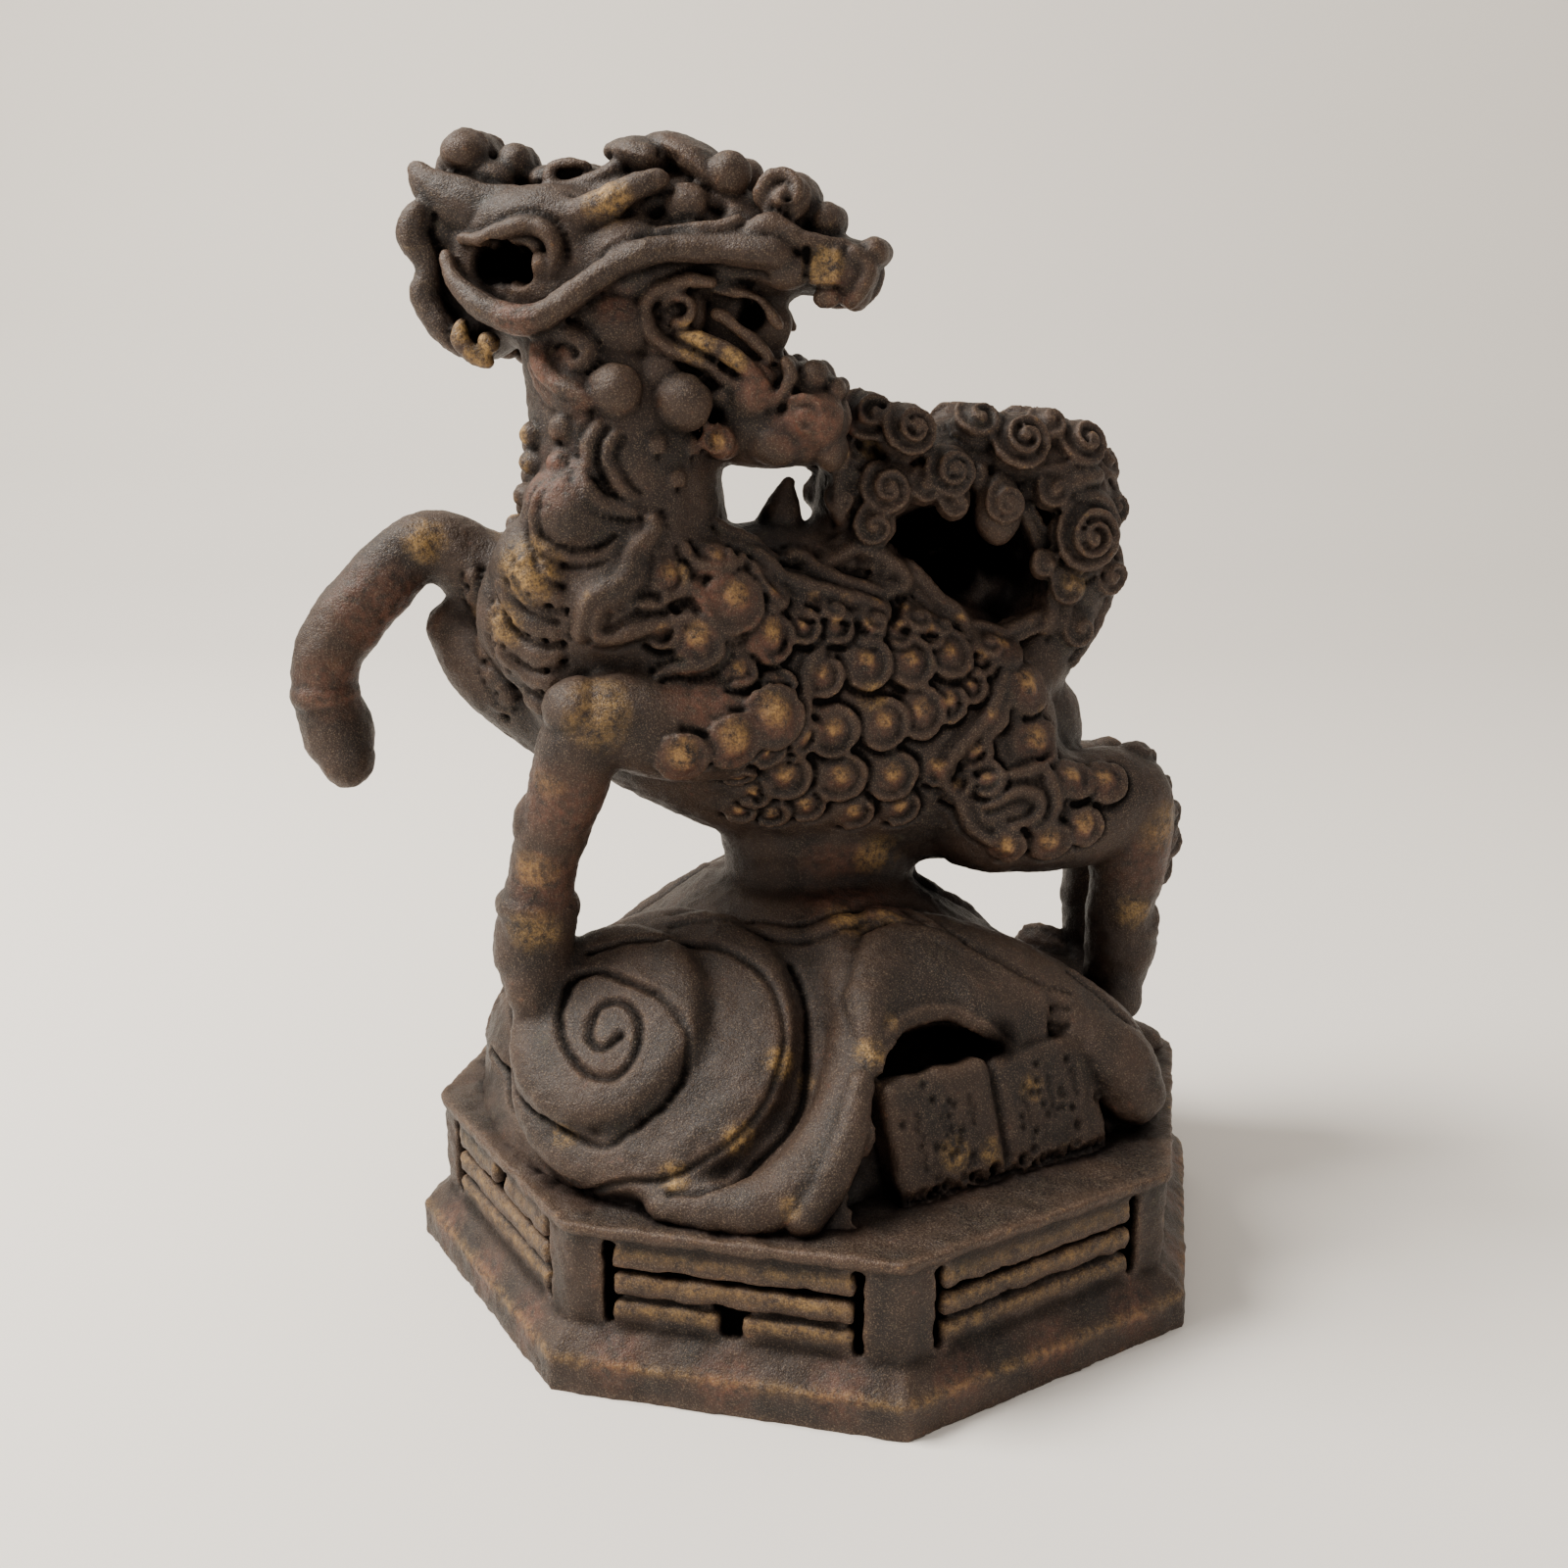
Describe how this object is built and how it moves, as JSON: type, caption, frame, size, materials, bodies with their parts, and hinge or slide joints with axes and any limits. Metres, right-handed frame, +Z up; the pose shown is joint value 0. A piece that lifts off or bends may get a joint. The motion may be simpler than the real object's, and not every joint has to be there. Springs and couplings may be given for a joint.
{
  "type": "qilin figure",
  "caption": "Cast ornament: a rearing qilin looks back over its shoulder, above scrolling clouds, on an octagonal base with trigram panels; it stands freely on a shelf or desk.",
  "frame": {"origin": "centre of the octagonal underside, on the plane that the figure stands on", "axes": "+Z up, -Y out of the front face of the base, +X to the viewer's right, where the animal's head points"},
  "size_m": [0.1039, 0.0924, 0.1298],
  "materials": {
    "patinated_brass": "dark brown-black patina over a fine sandy cast surface, with worn gold-ochre and copper-red high spots"
  },
  "bodies": {
    "root": {"qilin_figure": "patinated_brass"}
  },
  "joints": []
}
